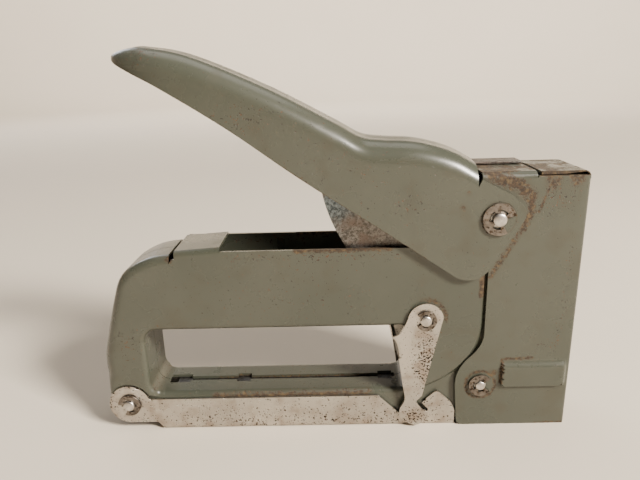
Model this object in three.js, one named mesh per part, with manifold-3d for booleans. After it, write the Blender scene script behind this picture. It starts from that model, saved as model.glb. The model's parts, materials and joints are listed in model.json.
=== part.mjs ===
// Hand-squeezed staple gun with a swing-down magazine.
// Millimetres. +X to the nose, +Y to the left side, +Z up. The origin is on the
// surface that the gun stands on, midway along its length.
import * as THREE from 'three';
import { mergeVertices } from 'three/addons/utils/BufferGeometryUtils.js';
import Module from 'manifold-3d';

const wasm = await Module();
wasm.setup();

// ---- driving dimensions -------------------------------------------------
const LENGTH = 189;              // back of the body to the front of the nose
const NOSE_X = LENGTH / 2;       // front face of the nose
const TAIL_X = -LENGTH / 2;      // rearmost line of the body
const GAP = 0.3;                 // between neighbouring pieces
const RUN = 0.3;                 // radial clearance of a pin in its holes

// Sheet metal, each given by the outer face's distance from the middle plane.
const BODY = { out: 12.9, t: 1.2, recess: 1.4, top: 78, bottom: 2.5 };
const NOSE = { fit: 0.6, t: 1.2, top: 106, reach: 35.2 };
const TRACK = { t: 1.1, top: 14.2, front: 45.4, rear: 22 };
const HANDLE = { t: 1.3, crown: 6, tip: 138.7 };
const LATCH = { t: 1.2 };
const INSERT = { fit: 0.7, t: 1.4 };

// Faces that follow from them.
BODY.low = BODY.out - BODY.recess;               // outer face where it is pressed in
BODY.in = BODY.low - BODY.t;                     // innermost face
TRACK.out = BODY.low + GAP + TRACK.t;
LATCH.in = Math.max(TRACK.out, BODY.out) + GAP;
LATCH.out = LATCH.in + LATCH.t;
NOSE.in = BODY.low + NOSE.fit;                   // the nose slips over the pressed-in sides
NOSE.out = NOSE.in + NOSE.t;
HANDLE.in = NOSE.out + 0.5;
HANDLE.out = HANDLE.in + HANDLE.t;
INSERT.out = BODY.in - INSERT.fit;               // the insert swings between the shells
INSERT.in = INSERT.out - INSERT.t;

// Finger loop through the body.
const LOOP = { rear: TAIL_X + 18, front: NOSE_X - 64, low: 16.3, high: 45.4, r: 5, flange: 1.2 };
// Strap that ties the two shells across the top.
const STRAP = { rear: TAIL_X + 33.5, front: TAIL_X + 51, t: 1.2 };

// Cross pins: place, radius, radius past the clip groove, and what they pass through.
const LEVER_PIN = { x: NOSE_X - 33.1, z: 89, r: 3.175, tip: 2.55, face: HANDLE.out, end: 1.4 };
const LATCH_PIN = { x: NOSE_X - 58.6, z: 48.4, r: 2.4, tip: 2.2, face: LATCH.out, end: 0.8 };
const NOSE_PIN = { x: NOSE_X - 35.7, z: 18.8, r: 2.4, tip: 1.9, face: NOSE.out, end: 0.7 };
const HINGE_PIN = { x: TAIL_X + 8.7, z: 12, r: 2.4, tip: 2.2, face: TRACK.out, end: 0.8 };
const CLIP = { t: 0.7, side: 0.1, bite: 0.7 };

// Staple drive, on an upright axis in the nose.
const DRIVE = { x: NOSE_X - 11.5, arm: 24, swing: 25 };
const BLADE = { t: 0.7, half: 5.9 };
const GUIDE = { t: 1.3, half: NOSE.in - 1.1, top: 44 };
const SPRING = { r: 6.1, wire: 1.8, turns: 9 };
const PLUNGER = { low: 50, thick: 8, half: INSERT.out + 1, ear: 90.5 };
const SEAT = { t: 1.2, half: NOSE.in - 0.9, back: 7.5 };
const ROD = { r: 2.6, low: 71 };

// Magazine on the swinging track.
const RAIL = { half: 5.2, t: 1, top: 9.2, rear: TAIL_X + 39, slot: 1.6 };
const PUSHER = { t: 1, length: 14, travel: 80, neck: 3 };
const PUSH_ROD = { r: 1.2, z: 5 };
const PUSH_SPRING = { r: 2.2, wire: 0.7, turns: 14 };
const CHANNEL = { t: 1, top: LOOP.low - LOOP.flange - GAP, low: 4 };
CHANNEL.half = RAIL.half + GAP + PUSHER.t + GAP + CHANNEL.t;

// ---- finishes -------------------------------------------------------------
const finish = (color, roughness, metalness) => new THREE.MeshStandardMaterial({ color, roughness, metalness });
const ENAMEL = finish(0x7c7864, 0.35, 0.1);
const CHROME = finish(0xb9b6b0, 0.25, 1);
const ZINC = finish(0x9a958c, 0.5, 1);
const STEEL = finish(0x8b8680, 0.4, 1);
const DARK_STEEL = finish(0x4a4642, 0.5, 1);
const SPRING_STEEL = finish(0x5c5a58, 0.35, 1);

// ---- solids ---------------------------------------------------------------
// A closed three.js geometry as a solid that can be joined and cut.
function solid(geometry) {
  const bare = geometry.index ? geometry.toNonIndexed() : geometry.clone();
  bare.deleteAttribute('normal');
  bare.deleteAttribute('uv');
  const merged = mergeVertices(bare, 1e-5);
  const vertProperties = new Float32Array(merged.attributes.position.array);
  return new wasm.Manifold(new wasm.Mesh({ numProp: 3, vertProperties, triVerts: new Uint32Array(merged.index.array) }));
}

// A side outline in X and Z, made solid between two Y faces.
function plate(shape, y0, y1, curveSegments = 6) {
  const geometry = new THREE.ExtrudeGeometry(shape, { depth: y1 - y0, bevelEnabled: false, curveSegments });
  return solid(geometry.rotateX(Math.PI / 2).translate(0, y1, 0));
}

function box(x0, x1, y0, y1, z0, z1) {
  const geometry = new THREE.BoxGeometry(x1 - x0, y1 - y0, z1 - z0);
  return solid(geometry.translate((x0 + x1) / 2, (y0 + y1) / 2, (z0 + z1) / 2));
}

// A round bar along Y.
function bar(x, z, r, y0, y1, sides = 16) {
  return solid(new THREE.CylinderGeometry(r, r, y1 - y0, sides).translate(x, (y0 + y1) / 2, z));
}

// A turned piece along Y: [radius, y] pairs from one end to the other.
function turned(x, z, profile, sides = 14) {
  const points = profile.map(([r, y]) => new THREE.Vector2(r, y));
  return solid(new THREE.LatheGeometry(points, sides).translate(x, 0, z));
}

// A round bar or tube along X or Z.
function post(axis, r, from, to, a, b, sides = 14) {
  const geometry = new THREE.CylinderGeometry(r, r, to - from, sides);
  const mid = (from + to) / 2;
  return axis === 'x'
    ? solid(geometry.rotateZ(-Math.PI / 2).translate(mid, a, b))
    : solid(geometry.rotateX(Math.PI / 2).translate(a, b, mid));
}

const union = (...pieces) => pieces.reduce((sum, piece) => sum.add(piece));
const cut = (piece, ...tools) => tools.reduce((rest, tool) => rest.subtract(tool), piece);
// The same solid on the other side of the middle plane.
const mirrored = (piece) => piece.mirror([0, 1, 0]);
const bothSides = (piece) => piece.add(mirrored(piece));

const polygon = (points) => new THREE.Shape(points.map(([x, z]) => new THREE.Vector2(x, z)));

function roundedRectangle(x0, x1, z0, z1, r) {
  const shape = new THREE.Shape();
  shape.moveTo(x0 + r, z0);
  shape.lineTo(x1 - r, z0);
  shape.absarc(x1 - r, z0 + r, r, -Math.PI / 2, 0);
  shape.absarc(x1 - r, z1 - r, r, 0, Math.PI / 2);
  shape.absarc(x0 + r, z1 - r, r, Math.PI / 2, Math.PI);
  shape.absarc(x0 + r, z0 + r, r, Math.PI, Math.PI * 1.5);
  return shape;
}

// A closed coil along +Z with its ends on z0 and z1.
function coil(radius, wire, turns, length, steps, sides) {
  class Helix extends THREE.Curve {
    getPoint(t, target = new THREE.Vector3()) {
      const angle = t * turns * Math.PI * 2;
      const z = wire / 2 + t * (length - wire);
      return target.set(radius * Math.cos(angle), radius * Math.sin(angle), z);
    }
  }
  const section = new THREE.Shape().absarc(0, 0, wire / 2, 0, Math.PI * 2);
  return new THREE.ExtrudeGeometry(section, {
    steps: Math.round(turns * steps), extrudePath: new Helix(), curveSegments: Math.ceil(sides / 2),
  });
}

const pinHole = (pin, r = pin.r + RUN) => bar(pin.x, pin.z, r, -40, 40);

// ---- the gun, piece by piece ------------------------------------------------
const gun = new THREE.Group();

function add(name, piece, material) {
  const mesh = piece.getMesh();
  const geometry = new THREE.BufferGeometry();
  geometry.setAttribute('position', new THREE.BufferAttribute(mesh.vertProperties, 3));
  geometry.setIndex(new THREE.BufferAttribute(mesh.triVerts, 1));
  geometry.computeVertexNormals();
  const node = new THREE.Mesh(geometry, material);
  node.name = name;
  gun.add(node);
}

// Side outline of the two body shells.
function bodyOutline() {
  const shape = new THREE.Shape();
  shape.moveTo(NOSE_X - 22, BODY.bottom);
  shape.lineTo(NOSE_X - 22, LEVER_PIN.z + 11);
  shape.lineTo(LEVER_PIN.x - 9, LEVER_PIN.z + 11);
  shape.lineTo(LEVER_PIN.x - 24, BODY.top);
  shape.lineTo(TAIL_X + 36, BODY.top);
  shape.quadraticCurveTo(TAIL_X + 16, BODY.top - 2, TAIL_X + 12, BODY.top - 12);
  shape.lineTo(TAIL_X + 0.9, BODY.top - 43.5);
  shape.quadraticCurveTo(TAIL_X, BODY.top - 46.5, TAIL_X, BODY.top - 49);
  shape.lineTo(HINGE_PIN.x - 7.8, HINGE_PIN.z + 3);
  shape.quadraticCurveTo(HINGE_PIN.x - 7.8, HINGE_PIN.z - 7, HINGE_PIN.x, HINGE_PIN.z - 8);
  shape.lineTo(HINGE_PIN.x + 8, BODY.bottom);
  return shape;
}

// Edge of the part of the side that is pressed in, to clear the track and the nose.
// The offset moves it back from the edge, into the raised side.
function recessOutline(offset) {
  const x = NOSE_X - 36.8 - offset;
  const z = LOOP.low + offset;
  const shape = new THREE.Shape();
  shape.moveTo(NOSE_X, -5);
  shape.lineTo(NOSE_X, 130);
  shape.lineTo(x, 130);
  shape.lineTo(x, 47);
  shape.quadraticCurveTo(x, z + 20, x - 6, z + 13.5);
  shape.quadraticCurveTo(x - 12, z + 5, x - 29, z);
  const eye = 9.6 + offset;
  shape.absarc(HINGE_PIN.x, HINGE_PIN.z, eye, Math.asin((z - HINGE_PIN.z) / eye), Math.PI);
  shape.lineTo(TAIL_X - 5, -5);
  return shape;
}

const loopOutline = (grow) => roundedRectangle(
  LOOP.rear - grow, LOOP.front + grow, LOOP.low - grow, LOOP.high + grow, LOOP.r + grow);

// Outline strip that turns the side in to the seam at the back.
function rearFlange(y0, y1) {
  const outer = plate(bodyOutline(), y0, y1);
  const inner = outer.translate([BODY.t, 0, -BODY.t * 0.8]).add(outer.translate([BODY.t, 0, 0]));
  const rear = box(TAIL_X - 1, STRAP.rear - 2, y0 - 1, y1 + 1, HINGE_PIN.z + 3, BODY.top + 2);
  return outer.intersect(rear).subtract(inner);
}

function bodyShell() {
  const [out, low, inn, t] = [-BODY.out, -BODY.low, -BODY.in, BODY.t];
  const wall = cut(
    plate(bodyOutline(), out, inn),
    cut(box(TAIL_X - 5, NOSE_X, out + t, inn + 1, -5, 130), plate(recessOutline(t), out - 5, inn + 5)));
  const seam = -GAP / 2;
  const shell = union(wall,
    rearFlange(out, seam),
    plate(loopOutline(LOOP.flange), low, seam - 0.45));
  return cut(shell,
    plate(recessOutline(0), out - 1, low),
    plate(loopOutline(0), out - 1, 1),
    pinHole(LEVER_PIN), pinHole(LATCH_PIN), pinHole(NOSE_PIN), pinHole(HINGE_PIN),
    ...seamNotches());
}

// Square notches along the seam in the floor of the finger loop.
function seamNotches() {
  const places = [[LOOP.rear + 5, LOOP.rear + 14], [LOOP.rear + 34, LOOP.rear + 40], [LOOP.front - 12, LOOP.front - 6]];
  return places.map(([x0, x1]) => box(x0, x1, -1.9, 1.9, LOOP.low - 3, LOOP.low + 1));
}

function addBody() {
  const left = mirrored(bodyShell());
  const strap = union(
    box(STRAP.rear, STRAP.front, -BODY.out, BODY.out, BODY.top + GAP, BODY.top + GAP + STRAP.t),
    box(STRAP.rear, STRAP.front, -BODY.out, -BODY.out + BODY.t, BODY.top - 3, BODY.top + GAP + STRAP.t));
  add('right_body_shell', bodyShell().add(strap), ENAMEL);
  add('left_body_shell', left, ENAMEL);
}

function noseOutline() {
  const rear = NOSE_X - NOSE.reach;
  const shape = new THREE.Shape();
  shape.moveTo(NOSE_X, 0);
  shape.lineTo(NOSE_X, NOSE.top);
  shape.lineTo(rear, NOSE.top);
  shape.lineTo(rear, 41);
  shape.quadraticCurveTo(rear - 0.3, 36, rear - 5, 31.5);
  shape.quadraticCurveTo(rear - 11, 26, rear - 10.6, 18);
  shape.lineTo(rear - 9.6, 3);
  shape.quadraticCurveTo(rear - 9.4, 0, rear - 6.5, 0);
  return shape;
}

function addNose() {
  const boss = polygon([[NOSE_X - 27.6, 18], [NOSE_X - 4, 18], [NOSE_X - 4, 29.7], [NOSE_X - 27.6, 29.7]]);
  const side = union(
    plate(noseOutline(), -NOSE.out, -NOSE.in),
    plate(boss, -NOSE.out - 1.1, -NOSE.in - 0.2),
    box(NOSE_X - NOSE.reach, NOSE_X - 20.2, -NOSE.out, -NOSE.out + 4.5, NOSE.top - NOSE.t, NOSE.top));
  const front = box(NOSE_X - NOSE.t, NOSE_X, -NOSE.out, NOSE.out, 0, NOSE.top);
  const cap = box(NOSE_X - 18.1, NOSE_X, -NOSE.in - 0.5, NOSE.in + 0.5, NOSE.top - NOSE.t, NOSE.top);
  const shell = cut(union(bothSides(side), front, cap), pinHole(LEVER_PIN), pinHole(NOSE_PIN));
  add('nose_shell', shell, ENAMEL);
  const top = box(NOSE_X - 40, NOSE_X - 20, -9, 9, NOSE.top + GAP, NOSE.top + GAP + 1);
  add('nose_top_plate', top, ZINC);
  const guide = box(NOSE_X - NOSE.t - GAP - GUIDE.t, NOSE_X - NOSE.t - GAP, -GUIDE.half, GUIDE.half, 0, GUIDE.top);
  add('front_guide_plate', guide, STEEL);
}

// A headed groove pin, the same at both ends.
function addPin(name, pin) {
  const clip = pin.face + GAP;
  const groove = [pin.tip - CLIP.bite, clip - CLIP.side, clip + CLIP.t + CLIP.side];
  const end = groove[2] + pin.end;
  const half = [[pin.r, groove[1]], [groove[0], groove[1]], [groove[0], groove[2]],
    [pin.tip, groove[2]], [pin.tip, end - 0.4], [pin.tip - 0.4, end], [0, end]];
  const other = half.map(([r, y]) => [r, -y]).reverse();
  add(name, turned(pin.x, pin.z, [...other, ...half]), STEEL);
}

// A snap clip: a flat C with a mouth and two bays beside the inner lugs.
function clipShape(outer, inner, mouth) {
  const open = 0.62;
  const shape = new THREE.Shape();
  shape.absarc(0, 0, outer, open, Math.PI * 2 - open);
  shape.lineTo(inner * 0.95, -inner * 0.62);
  const bays = [[-0.95, -1.9], [-2.5, -3.8], [-4.4, -5.35]];
  const deep = inner + (outer - inner) * 0.42;
  bays.forEach(([from, to]) => {
    shape.absarc(0, 0, inner, from + 0.28, from, true);
    shape.absarc(0, 0, deep, from - 0.06, to + 0.06, true);
    shape.absarc(0, 0, inner, to, to - 0.1, true);
  });
  shape.lineTo(inner * 0.95, inner * 0.62);
  const points = shape.getPoints(4).map((point) => point.rotateAround(new THREE.Vector2(), mouth));
  return new THREE.Shape(points);
}

function addClips(name, pin, outer, mouth) {
  const inner = pin.tip - CLIP.bite + 0.25;
  const face = pin.face + GAP;
  const clip = plate(clipShape(outer, inner, mouth), -face - CLIP.t, -face, 6).translate([pin.x, 0, pin.z]);
  add(`${name}_clip_right`, clip, DARK_STEEL);
  add(`${name}_clip_left`, mirrored(clip), DARK_STEEL);
}

// A tube over a cross pin that keeps the two shells apart.
function addSpacer(name, pin, outer, half) {
  add(name, cut(bar(pin.x, pin.z, outer, -half, half), pinHole(pin)), STEEL);
}

// ---- lever ------------------------------------------------------------------
// Handle outline in the side view, measured from the lever pin.
const curve = (points) => new THREE.SplineCurve(points.map(([x, z]) => new THREE.Vector2(x, z)));
const HANDLE_TOP = curve([[-HANDLE.tip, 61.2], [-134, 63.3], [-127, 64.1], [-111, 60.9], [-84, 49.4],
  [-60, 36.8], [-50, 31.2], [-42, 29.9], [-29.5, 28.9], [-17, 25.4], [-8, 20.6]]);
const HANDLE_LOW = curve([[-HANDLE.tip, 59.9], [-131, 56], [-119, 49.3], [-97, 34.4], [-73, 16.9],
  [-45, -2], [-19, -19.6], [-8, -24]]);

// Height of a side-view curve at a distance along it.
function heightAt(line, x) {
  let [low, high] = [0, 1];
  for (let step = 0; step < 24; step += 1) {
    const middle = (low + high) / 2;
    if (line.getPoint(middle).x < x) low = middle;
    else high = middle;
  }
  return line.getPoint(low).y;
}

// One cross-section of the handle: an upside-down U with rounded shoulders.
function handleSection(x, steps) {
  const fromTip = x + HANDLE.tip;
  const round = 24;
  const bow = fromTip < round ? Math.sqrt(1 - ((round - fromTip) / round) ** 2) : 1;
  const half = 2.2 + (HANDLE.out - 2.2) * bow;
  const [top, low] = [heightAt(HANDLE_TOP, x), heightAt(HANDLE_LOW, x) - 0.001];
  const shoulder = (y, z, r) => Array.from({ length: steps + 1 }, (_, i) => {
    const angle = (Math.PI / 2) * (i / steps);
    return [y - r + r * Math.cos(angle), z - r + r * Math.sin(angle)];
  });
  const r = Math.min(HANDLE.crown, (top - low) * 0.8, half * 0.8);
  const t = Math.min(HANDLE.t, (top - low) * 0.45);
  const outer = [[half, low], ...shoulder(half, top, r)];
  const inner = [[half - t, low], ...shoulder(half - t, top - t, Math.max(r - t, r * 0.3))];
  const across = (points) => points.map(([y, z]) => [-y, z]);
  return [...outer, ...across(outer).reverse(), ...across(inner), ...inner.reverse()];
}

// Skin of a row of matching cross-sections, closed at both ends.
function loft(stations, section) {
  const rings = stations.map((x) => section(x).map(([y, z]) => [x, y, z]));
  const count = rings[0].length;
  const triangles = [];
  for (let i = 0; i + 1 < rings.length; i += 1) {
    for (let j = 0; j < count; j += 1) {
      const k = (j + 1) % count;
      triangles.push([rings[i][j], rings[i + 1][k], rings[i + 1][j]], [rings[i][j], rings[i][k], rings[i + 1][k]]);
    }
  }
  const flat = (ring) => ring.map(([, y, z]) => new THREE.Vector2(y, z));
  const [rear, front] = [rings[0], rings[rings.length - 1]];
  THREE.ShapeUtils.triangulateShape(flat(rear), [])
    .forEach(([a, b, c]) => triangles.push([rear[a], rear[c], rear[b]]));
  THREE.ShapeUtils.triangulateShape(flat(front), [])
    .forEach(([a, b, c]) => triangles.push([front[a], front[b], front[c]]));
  const geometry = new THREE.BufferGeometry();
  geometry.setAttribute('position', new THREE.Float32BufferAttribute(triangles.flat(2), 3));
  return geometry;
}

// Cheek lobe round the lever pin, from the lower edge to the front of the roof.
function cheekOutline() {
  const shape = new THREE.Shape();
  shape.moveTo(-8.1, 20.4);
  shape.lineTo(-20, 24);
  shape.lineTo(-35, 6);
  shape.lineTo(-35, -9);
  shape.lineTo(-17.5, -20.9);
  shape.absarc(-10, -14.6, 9.5, -2.4, -0.7);
  shape.lineTo(9, -2.5);
  shape.absarc(4.2, 1.6, 5.8, -0.6, 0.95);
  shape.lineTo(-6.8, 15);
  shape.quadraticCurveTo(-8.1, 16, -8.1, 17.5);
  return shape;
}

function addHandle() {
  const steps = 20;
  const [first, last] = [-HANDLE.tip, -8.1];
  const stations = Array.from({ length: steps + 1 }, (_, i) => first + (last - first) * (i / steps) ** 1.45);
  const shell = solid(loft(stations, (x) => handleSection(x, 3)));
  const cheek = plate(cheekOutline(), -HANDLE.out, -HANDLE.in);
  const handle = union(shell, bothSides(cheek)).translate([LEVER_PIN.x, 0, LEVER_PIN.z]);
  add('handle_shell', cut(handle, pinHole(LEVER_PIN)), ENAMEL);
}

// Zinc-plated channel inside the handle: two side plates, a top web and two lifting arms.
function addInsert() {
  const reach = DRIVE.arm;
  const down = (DRIVE.swing / 2) * (Math.PI / 180);
  const [tipX, tipZ] = [reach * Math.cos(down), -reach * Math.sin(down)];
  const body = new THREE.Shape();
  body.moveTo(-66, 15);
  body.quadraticCurveTo(-64.6, 2, -55, -13.5);
  body.quadraticCurveTo(-53, -16, -49, -15.6);
  body.lineTo(-8, -7);
  body.lineTo(3, -6.2);
  body.lineTo(tipX - 6.4, tipZ - 0.2);
  body.lineTo(tipX, tipZ - 1.3);
  body.lineTo(tipX, tipZ + 1.3);
  body.lineTo(tipX - 6.4, tipZ + 2.9);
  body.lineTo(7, 3.5);
  body.lineTo(0, 8);
  body.lineTo(-16, 14);
  body.lineTo(-60, 22);
  const shape = plate(body, -INSERT.out, -INSERT.in).add(bar(tipX, tipZ, 2.4, -INSERT.out, -INSERT.in));
  const web = plate(polygon([[-60, 22], [-59.6, 20.7], [-16.4, 12.7], [-16, 14]]), -INSERT.out, INSERT.out);
  const insert = bothSides(shape).add(web).translate([LEVER_PIN.x, 0, LEVER_PIN.z]);
  add('lever_insert', cut(insert, pinHole(LEVER_PIN)), ZINC);
  addSpacer('lever_bushing', LEVER_PIN, 5, INSERT.in - GAP);
}

// ---- staple drive -------------------------------------------------------------
const bladeBack = NOSE_X - NOSE.t - GAP - GUIDE.t - GAP - BLADE.t;
const liftZ = LEVER_PIN.z - DRIVE.arm * Math.sin((DRIVE.swing / 2) * (Math.PI / 180));
const armX = LEVER_PIN.x + DRIVE.arm;
const seatTop = NOSE.top - NOSE.t - GAP;
const springBase = PLUNGER.low + PLUNGER.thick + GAP;
const rivetZ = PLUNGER.low + PLUNGER.thick / 2;

function addDrive() {
  const face = bladeBack - GAP;
  const back = DRIVE.x - 7;
  const block = box(back, face, -PLUNGER.half, PLUNGER.half, PLUNGER.low, springBase - GAP);
  const ear = box(armX - 4, armX + 4, -INSERT.out, -INSERT.in, PLUNGER.low, PLUNGER.ear);
  const window = union(
    bar(armX, liftZ, 2.4 + GAP, -15, 15),
    box(armX - 10, armX, -15, 15, liftZ - 2.4 - GAP, liftZ + 2.4 + GAP));
  const ears = cut(bothSides(ear), window);
  const bore = post('z', ROD.r + 0.5, PLUNGER.low - 1, springBase, DRIVE.x, 0);
  const rivetBore = post('x', 1.8, back - 1, face + 1, 0, rivetZ);
  const slot = box(back + 1.6, DRIVE.x + 3, -2.2, 2.2, PLUNGER.low - 1, PLUNGER.low + 1);
  add('plunger', cut(union(block, ears), bore, rivetBore, slot), STEEL);

  const blade = box(bladeBack, bladeBack + BLADE.t, -BLADE.half, BLADE.half, GAP, springBase - GAP);
  add('driver_blade', cut(blade, rivetBore.translate([4, 0, 0])), STEEL);
  const head = bladeBack + BLADE.t + GAP;
  const rivet = union(post('x', 1.5, DRIVE.x + ROD.r + 1, head + 0.8, 0, rivetZ), post('x', 2.8, head, head + 0.8, 0, rivetZ));
  add('driver_rivet', rivet, STEEL);

  const seatFront = NOSE_X - NOSE.t - GAP;
  const seat = cut(box(DRIVE.x - SEAT.back, seatFront, -SEAT.half, SEAT.half, seatTop - SEAT.t, seatTop),
    post('z', ROD.r + GAP, 0, 200, DRIVE.x, 0));
  add('spring_seat', seat, STEEL);
  const springTop = seatTop - SEAT.t - GAP;
  const rod = union(post('z', ROD.r, ROD.low, seatTop, DRIVE.x, 0),
    post('z', ROD.r + 1, springTop - 2.4, springTop, DRIVE.x, 0));
  add('spring_guide_rod', rod, STEEL);
  const spring = coil(SPRING.r, SPRING.wire, SPRING.turns, springTop - springBase, 10, 4);
  add('power_spring', solid(spring.translate(DRIVE.x, 0, springBase)), SPRING_STEEL);
}

// ---- latch ----------------------------------------------------------------------
// Outline measured from the latch pin.
function latchOutline() {
  const shape = new THREE.Shape();
  shape.moveTo(6.9, 1);
  shape.absarc(0, 0, 7, 0.15, 2.95);
  shape.quadraticCurveTo(-8.4, -3.4, -10.2, -5.9);
  shape.lineTo(-14.4, -7.6);
  shape.lineTo(-12.7, -8.2);
  shape.quadraticCurveTo(-10.8, -10, -10.4, -14);
  shape.lineTo(-7.8, -33);
  shape.quadraticCurveTo(-7.2, -36, -9.4, -39);
  shape.quadraticCurveTo(-10.6, -42, -8.8, -44.4);
  shape.lineTo(-5.6, -46.9);
  shape.quadraticCurveTo(-2.9, -48.3, -0.9, -46.6);
  shape.quadraticCurveTo(1.6, -44.2, 1.9, -41.6);
  shape.lineTo(-0.2, -40.6);
  shape.lineTo(-3.2, -36.4);
  shape.lineTo(-0.7, -33.8);
  return shape;
}

function addLatch() {
  const side = plate(latchOutline(), -LATCH.out, -LATCH.in);
  const lip = bar(-0.2, -40, 0.6, -LATCH.in - 0.4, -BODY.low - 0.4, 10);
  const arm = plate(polygon([[-0.8, -40.6], [0.3, -40.4], [0.3, -41.2], [-0.8, -41.4]]), -LATCH.out, -LATCH.in);
  const web = plate(polygon([[-12.6, -8.3], [-11.4, -9.2], [-10.2, -16.4], [-11.4, -16.4]]), -LATCH.out, LATCH.out);
  const latch = union(bothSides(union(side, lip, arm)), web).translate([LATCH_PIN.x, 0, LATCH_PIN.z]);
  add('latch', cut(latch, pinHole(LATCH_PIN)), CHROME);
}

// ---- magazine ---------------------------------------------------------------------
function trackOutline() {
  const [x, r] = [NOSE_X, 8.5];
  const shape = new THREE.Shape();
  shape.moveTo(x - TRACK.front, 0);
  shape.lineTo(x - TRACK.front, 7.6);
  shape.lineTo(x - 47.4, 11);
  shape.lineTo(x - 52.8, 15.8);
  shape.lineTo(x - 56.5, 13.1);
  shape.absarc(x - 57.7, 10.4, 1, 1.6, 4.2);
  shape.lineTo(x - 56.4, 7.4);
  shape.lineTo(x - 57, 4.4);
  shape.lineTo(x - 66.8, 4.4);
  shape.lineTo(x - 77.1, TRACK.top);
  shape.lineTo(HINGE_PIN.x + 9.2, TRACK.top);
  shape.absarc(HINGE_PIN.x, HINGE_PIN.z, r, 0.34, Math.PI * 1.5);
  shape.lineTo(HINGE_PIN.x + 11, HINGE_PIN.z - r);
  shape.lineTo(TAIL_X + TRACK.rear, 0);
  return shape;
}

function addMagazine() {
  const side = plate(trackOutline(), -TRACK.out, -TRACK.out + TRACK.t);
  const web = box(TAIL_X + TRACK.rear, NOSE_X - TRACK.front, -TRACK.out, TRACK.out, 0, TRACK.t);
  add('magazine_track', cut(union(bothSides(side), web), pinHole(HINGE_PIN)), CHROME);

  const floor = TRACK.t + GAP;
  const front = bladeBack - GAP;
  const hollow = RAIL.half - RAIL.t;
  const wall = 1;
  const slotRear = front - 24 - PUSHER.travel;
  const rail = cut(
    box(RAIL.rear, front, -RAIL.half, RAIL.half, floor, RAIL.top),
    box(RAIL.rear + wall, front - 8, -hollow, hollow, floor - 1, RAIL.top - RAIL.t),
    box(front - 7, front + 1, -hollow, hollow, floor - 1, RAIL.top - RAIL.t),
    box(slotRear, front - 10, -RAIL.slot, RAIL.slot, RAIL.top - 3, RAIL.top + 1),
    post('x', PUSH_ROD.r + GAP, RAIL.rear - 1, front + 1, 0, PUSH_ROD.z));
  add('staple_rail', rail, STEEL);
  add('pusher_guide_rod', post('x', PUSH_ROD.r, RAIL.rear - 0.5, front - 6.5, 0, PUSH_ROD.z, 12), STEEL);

  const nose = front - 4;
  const tail = nose - PUSHER.length;
  const inner = RAIL.half + GAP;
  const [saddle, neckX] = [inner + PUSHER.t, tail + 2];
  const pusher = cut(union(
    cut(box(tail, nose, -saddle, saddle, 3.2, RAIL.top + GAP + PUSHER.t),
      box(tail - 1, nose + 1, -inner, inner, 0, RAIL.top + GAP)),
    box(neckX, neckX + PUSHER.neck, -RAIL.slot + GAP, RAIL.slot - GAP, PUSH_ROD.z - 2.6, RAIL.top + GAP + 0.5),
    box(neckX, neckX + PUSHER.neck, -hollow + GAP, hollow - GAP, PUSH_ROD.z - 2.6, RAIL.top - RAIL.t - GAP)),
  post('x', PUSH_ROD.r + GAP, tail - 5, nose + 5, 0, PUSH_ROD.z));
  add('staple_pusher', pusher, STEEL);
  const [springRear, springFront] = [RAIL.rear + wall + GAP, neckX - GAP];
  const spring = coil(PUSH_SPRING.r, PUSH_SPRING.wire, PUSH_SPRING.turns, springFront - springRear, 8, 4);
  add('pusher_spring', solid(spring.rotateY(Math.PI / 2).translate(springRear, 0, PUSH_ROD.z)), SPRING_STEEL);

  const inside = CHANNEL.half - CHANNEL.t;
  const channel = cut(
    box(LOOP.rear + 8, front, -CHANNEL.half, CHANNEL.half, CHANNEL.low, CHANNEL.top),
    box(LOOP.rear, front + 1, -inside, inside, 0, CHANNEL.top - CHANNEL.t));
  add('magazine_channel', channel, STEEL);
}

addBody();
addNose();
[['lever_pivot_pin', LEVER_PIN], ['latch_pin', LATCH_PIN], ['nose_pin', NOSE_PIN], ['track_hinge_pin', HINGE_PIN]]
  .forEach(([name, pin]) => addPin(name, pin));
addClips('lever', LEVER_PIN, 6.2, -0.4);
addClips('latch', LATCH_PIN, 4.35, Math.PI);
addClips('nose', NOSE_PIN, 4.95, 0);
addClips('hinge', HINGE_PIN, 4.75, Math.PI + 0.5);
addSpacer('latch_pin_spacer', LATCH_PIN, 3.5, BODY.in - GAP);
addSpacer('nose_pin_spacer', NOSE_PIN, 3.5, BODY.in - GAP);
addSpacer('hinge_pin_spacer', HINGE_PIN, 4, BODY.in - GAP);
addHandle();
addInsert();
addDrive();
addLatch();
addMagazine();

export default gun;
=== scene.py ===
# Looks of the hand-squeezed staple gun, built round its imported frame. The scene is in metres;
# sizes are written in millimetres and multiplied by MM.
import json
from math import atan2, cos, hypot, pi, radians, sin, sqrt
import bpy
from mathutils import Matrix, Vector
from mathutils.geometry import delaunay_2d_cdt


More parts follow.
